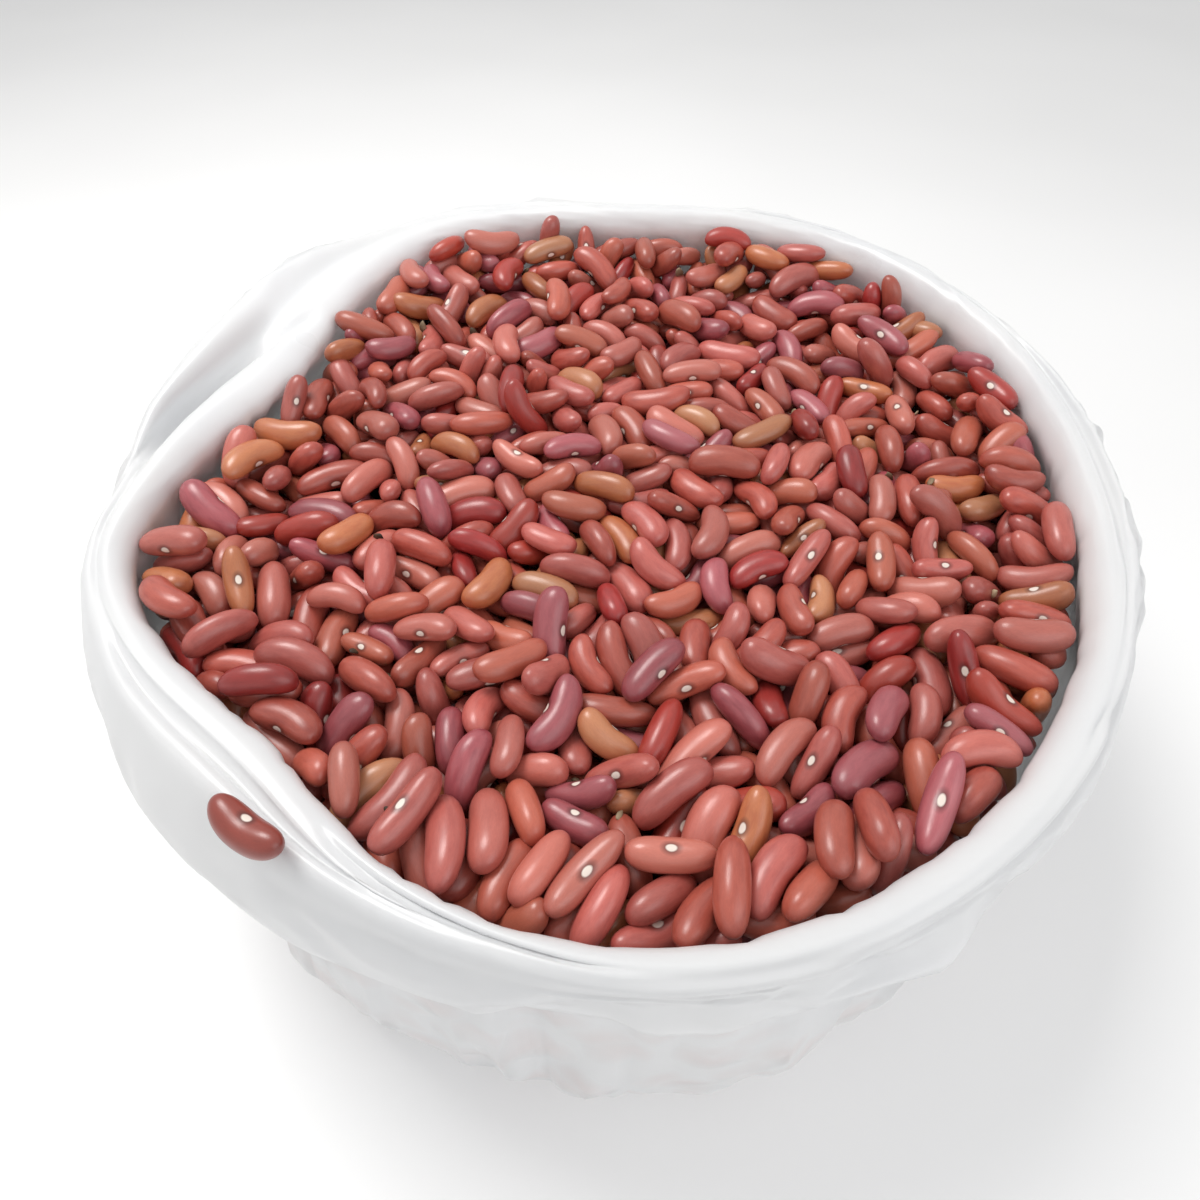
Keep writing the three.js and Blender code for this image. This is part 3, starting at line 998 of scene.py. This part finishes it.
def smoothness(turns):
    """1 where the film along the rim is smooth and taut, 0 where it is crumpled."""
    smooth = np.zeros_like(turns)
    for direction, reach in SMOOTH_STRETCHES:
        away = np.degrees(np.abs(np.angle(np.exp(1j * (turns - math.radians(direction))))))
        smooth = np.maximum(smooth, ease(away, reach, reach - SMOOTH_FADE))
    return smooth


def shape_film(mesh):
    count = len(mesh.vertices)
    place = np.empty(count * 3)
    mesh.vertices.foreach_get("co", place)
    place = place.reshape(-1, 3)
    normal = np.empty(count * 3)
    mesh.vertex_normals.foreach_get("vector", normal)
    normal = normal.reshape(-1, 3)
    ring = np.empty(count)
    mesh.attributes["ring"].data.foreach_get("value", ring)
    turns = np.arctan2(place[:, 1] - mouth_middle.y, place[:, 0] - mouth_middle.x)
    height = place[:, 2]
    body = ease(ring, 12.5, 11.0) * ease(ring, 1.5, 3.0)
    calm = 1 - SMOOTH_SHARE * smoothness(turns)
    collar = ease(ring, 15.0, 19.0) * calm
    hem = ease(ring, 20.0, 24.0) * calm
    neck = ease(ring, 8.5, 11.5) * ease(ring, 14.5, 12.5)
    foot = ease(ring, 1.5, 3.0) * ease(ring, 6.5, 3.5)

    # The inner face points inwards and up, so moves outwards are below 0 on the body. Moves are in
    # millimetres here, and the lengths of waves and ridges in metres.
    slant = height + 0.02 * np.sin(2 * turns + 1)
    length = ring * RING_STEP
    move = np.zeros(count)
    move += -1.0 * ease(ring, 11.5, 8.0)
    move += -0.8 * body * (1 + waves(turns, height, 0.035, 0.030, 1.0))
    move += -0.5 * body * (1 + waves(turns, height, 0.012, 0.010, 2.0))
    move += -2.6 * body * ridges(turns, slant, 0.020, 0.085, 4.0, 2.0)
    move += -1.8 * body * ridges(turns, height - slant, 0.012, 0.050, 9.0, 2.0)
    move += -0.8 * neck * ridges(turns, height, 0.011, 0.060, 3.0)
    move += -2.0 * foot * ridges(turns, height, 0.016, 0.030, 5.0, 2.0)
    move += 2.2 * collar * waves(turns, length, 0.040, 0.030, 6.0)
    move += -1.5 * collar * ridges(turns, length, 0.075, 0.014, 7.0)
    move += 2.6 * hem * waves(turns, length, 0.018, 0.060, 8.0)
    move += 1.2 * collar * ridges(turns, length, 0.014, 0.050, 10.0, 2.0)
    for start, end, width, rise in PLACED_FOLDS:
        move += rise * placed_fold(turns, ring, start, end, width * MM)
    place += normal * (move * MM)[:, None]
    place[:, 2] = np.maximum(place[:, 2], TABLE_SPACE)
    mesh.vertices.foreach_set("co", place.ravel())
    pressed = mesh.attributes.new("pressed", "FLOAT", "POINT")
    pressed.data.foreach_set("value", ease(ring, 12.0, 10.0) * ease(ring, 0.5, 2.0))
    mesh.update()


shape_film(film_mesh)

# %% [markdown]
# ## Letting the film settle
# Film gathers because there is more of it than the shape needs. So the film, already pleated, is
# simulated as a cloth that also wants to be a little larger than it is: most on the body, not at all
# at the rim, and somewhat at the hem. It is held firmly under the bottom, fairly firmly at the rim,
# whose outline is known, and hardly at all elsewhere. The beans are solid, the film can't pass
# through itself, and the surplus buckles into the sharp little folds that only film has. It is
# simulated at ten times the size, which the solver's distances suit better. Along the smooth
# stretches of the rim the film keeps the shape that it was given, with nothing but its placed folds.

# %% Cloth settings
SETTLE_SCALE = 10
SETTLE_FRAMES = 30
SOLID_SPACE, CLOTH_SPACE = 0.4 * MM, 0.6 * MM  # from which solids and the film itself push back
SURPLUS = 0.02             # how much longer than the shape the film wants to be, on the body
HEM_SHARE = 0.5            # how much of that surplus the collar's hem has
TIGHT_FOLD = math.radians(50)
RELAX_ROUNDS, RELAX_SHARE = 2, 0.6
HELD_FREE, HELD_RIM, HELD_COLLAR = 0.03, 0.6, 0.12  # how firmly the film is held in place
TABLE_REACH = 300 * MM
TABLE_DROP = 0.8 * MM      # the table lies this low, because the film keeps off it


def weigh(body, name, weights):
    group = body.vertex_groups.new(name=name)
    for number, weight in enumerate(weights):
        group.add([number], float(weight), "REPLACE")


def solid_for_cloth(name, bm):
    """A merged solid at the simulation's size that the film can't pass."""
    bmesh.ops.scale(bm, verts=bm.verts, vec=(SETTLE_SCALE,) * 3)
    mesh = bpy.data.meshes.new(name)
    bm.to_mesh(mesh)
    bm.free()
    body = bpy.data.objects.new(name, mesh)
    scene.collection.objects.link(body)
    body.modifiers.new("solid", "COLLISION")
    body.collision.thickness_outer = SOLID_SPACE * SETTLE_SCALE
    body.collision.cloth_friction = 10
    return body


def calm_pinches(mesh):
    """Relaxes the collar a little where the film crumpled more tightly than its faces can show."""
    bm = bmesh.new()
    bm.from_mesh(mesh)
    rings = bm.verts.layers.float["ring"]
    all_ways = {"use_axis_x": True, "use_axis_y": True, "use_axis_z": True}
    for _ in range(RELAX_ROUNDS):
        tight = [v for v in bm.verts if v[rings] > MOUTH and len(v.link_edges) == 4
                 and max(e.calc_face_angle(0) for e in v.link_edges) > TIGHT_FOLD]
        bmesh.ops.smooth_vert(bm, verts=tight, factor=RELAX_SHARE, **all_ways)
    bm.to_mesh(mesh)
    bm.free()


def settle_film(mesh):
    """Runs the cloth simulation and writes the film's settled places into its mesh."""
    ring = np.empty(len(mesh.vertices))
    mesh.attributes["ring"].data.foreach_get("value", ring)
    rim = ease(ring, 9.0, 12.0) * ease(ring, 18.5, 16.0)
    held = HELD_FREE + HELD_RIM * rim + HELD_COLLAR * ease(ring, 14.0, 16.0) * ease(ring, 24.0, 19.0)
    sheet = bpy.data.objects.new("film_sheet", mesh.copy())
    sheet.data.transform(Matrix.Scale(SETTLE_SCALE, 4))
    scene.collection.objects.link(sheet)
    weigh(sheet, "held", np.maximum(held, ease(ring, 3.5, 2.0)))
    weigh(sheet, "taut", 1 - ease(ring, 10.5, 8.5) - HEM_SHARE * ease(ring, 16.0, 20.0))
    heap = bmesh.new()
    heap.from_mesh(frame["nodes"]["beans"].data)
    bmesh.ops.remove_doubles(heap, verts=heap.verts, dist=MERGE)
    bmesh.ops.recalc_face_normals(heap, faces=heap.faces)
    table = bmesh.new()
    bmesh.ops.create_grid(table, x_segments=1, y_segments=1, size=TABLE_REACH)
    bmesh.ops.translate(table, verts=table.verts, vec=(0, 0, -TABLE_DROP))
    solids = [solid_for_cloth("cloth_heap", heap), solid_for_cloth("cloth_table", table)]

    cloth = sheet.modifiers.new("cloth", "CLOTH")
    settings = cloth.settings
    settings.quality = 5
    settings.mass = 0.05
    settings.air_damping = 2.0
    settings.tension_stiffness = settings.compression_stiffness = 20
    settings.shear_stiffness = 10
    settings.bending_stiffness = 0.5
    settings.vertex_group_mass = "held"
    settings.pin_stiffness = 4.0
    settings.vertex_group_shrink = "taut"
    settings.shrink_min = -SURPLUS
    settings.shrink_max = 0.0
    settings.effector_weights.gravity = 0.35
    contact = cloth.collision_settings
    contact.distance_min = CLOTH_SPACE * SETTLE_SCALE
    contact.use_self_collision = True
    contact.self_distance_min = CLOTH_SPACE * SETTLE_SCALE
    contact.self_friction = 2
    cloth.point_cache.frame_end = SETTLE_FRAMES
    for step in range(1, SETTLE_FRAMES + 1):
        scene.frame_set(step)
    settled = sheet.evaluated_get(bpy.context.evaluated_depsgraph_get()).to_mesh()
    shaped = np.empty(len(mesh.vertices) * 3)
    mesh.vertices.foreach_get("co", shaped)
    shaped = shaped.reshape(-1, 3)
    place = np.empty(len(mesh.vertices) * 3)
    settled.vertices.foreach_get("co", place)
    place = place.reshape(-1, 3) / SETTLE_SCALE
    turns = np.arctan2(shaped[:, 1] - mouth_middle.y, shaped[:, 0] - mouth_middle.x)
    kept = smoothness(turns) * ease(ring, 10.0, 12.0) * ease(ring, 22.0, 18.0)
    place += (shaped - place) * kept[:, None]
    mesh.vertices.foreach_set("co", place.ravel())
    calm_pinches(mesh)
    for body in (sheet, *solids):
        data = body.data
        bpy.data.objects.remove(body)
        bpy.data.meshes.remove(data)
    scene.frame_set(1)


settle_film(film_mesh)
print("film settled")

# %% Film finish
def film_finish():
    material, tree, shader = new_material("white_film")
    place = add_node(tree, "ShaderNodeTexCoord").outputs["Object"]
    pressed = add_node(tree, "ShaderNodeAttribute", attribute_name="pressed").outputs["Fac"]

    # Beans that touch the film from inside show through it as faint rosy patches.
    bent = add_node(tree, "ShaderNodeTexNoise", {"Vector": place, "Scale": 60.0, "Detail": 1.0})
    warp = add_node(tree, "ShaderNodeMix", {"Factor": 0.012}, data_type="VECTOR")
    tree.links.new(place, warp.inputs[4])
    tree.links.new(bent.outputs["Color"], warp.inputs[5])
    cells = add_node(tree, "ShaderNodeTexVoronoi", {"Vector": warp.outputs[1], "Scale": 88.0})
    touch = ramp(tree, cells.outputs["Distance"], [(0.12, (1, 1, 1, 1)), (0.68, (0, 0, 0, 1))])
    touch = calc(tree, "MULTIPLY", touch, pressed)
    cloud = add_node(tree, "ShaderNodeTexNoise", {"Vector": place, "Scale": 18.0, "Detail": 3.0})
    white = ramp(tree, cloud.outputs["Fac"], [(0.3, srgb(232, 233, 235)), (0.7, srgb(240, 240, 240))])
    tint = mix_colour(tree, calc(tree, "MULTIPLY", touch, 0.35), white, srgb(226, 202, 198))
    tree.links.new(tint, shader.inputs["Base Color"])

    # Crinkles too fine for the mesh, and the beans' own bulges.
    crinkles = {"Vector": place, "Scale": 34.0, "Detail": 5.0, "Roughness": 0.45}
    crease = add_node(tree, "ShaderNodeTexNoise", crinkles, noise_type="RIDGED_MULTIFRACTAL")
    fine = calc(tree, "MULTIPLY", crease.outputs["Fac"], 0.55)
    relief = calc(tree, "ADD", fine, calc(tree, "MULTIPLY", touch, 1.1))
    bump = add_node(tree, "ShaderNodeBump", {"Height": relief, "Strength": 0.5})
    bump.inputs["Distance"].default_value = 0.8 * MM
    tree.links.new(bump.outputs["Normal"], shader.inputs["Normal"])
    rough = calc(tree, "MULTIPLY_ADD", cloud.outputs["Fac"], 0.18, 0.22)
    tree.links.new(rough, shader.inputs["Roughness"])
    shader.inputs["IOR"].default_value = 1.5
    shader.inputs["Subsurface Weight"].default_value = 0.35
    shader.inputs["Subsurface Radius"].default_value = (1.0, 0.98, 0.96)
    shader.inputs["Subsurface Scale"].default_value = 3 * MM
    return material


# %% Film bag
FILM_THICKNESS = 0.25 * MM
film = finish_piece(film_mesh, "film_bag", film_finish(), "bag_film", "bag")
wall = film.modifiers.new("wall", "SOLIDIFY")
wall.thickness = FILM_THICKNESS
wall.offset = 0.0

# %% [markdown]
# ## The stray bean
# One dark red-brown bean lies on the collar at the front left. It is a bean like the others, laid
# where the construction model has it: its length along the longest way of that solid, its flat side
# on the film, and its eye towards the back.

# %% Stray bean
STRAY_ROLL = math.radians(38)
STRAY_FORM, STRAY_TONE = 2, 0.4


def stray_bean():
    corners = np.array([v.co for v in frame["nodes"]["loose_bean"].data.vertices])
    middle = (corners.max(0) + corners.min(0)) / 2
    _, _, ways = np.linalg.svd(corners - corners.mean(0), full_matrices=False)
    along, up = Vector(ways[0]), Vector(ways[2])
    if along.x < 0:
        along = -along
    if up.z < 0:
        up = -up
    side = up.cross(along)
    lying = Matrix.Translation(middle) @ Matrix((along, side, up)).transposed().to_4x4()
    matrix = lying @ Matrix.Rotation(STRAY_ROLL, 4, "X")
    mesh = placed_bean(STRAY_FORM, matrix, STRAY_TONE)
    skin = bean_skin("stray_bean_skin", srgb(140, 52, 46), srgb(92, 26, 22), srgb(158, 74, 60), 0.7)
    piece = finish_piece(mesh, "stray_bean", skin, "stray_bean_skin", "loose_bean")
    add_levels(piece, 2)


stray_bean()
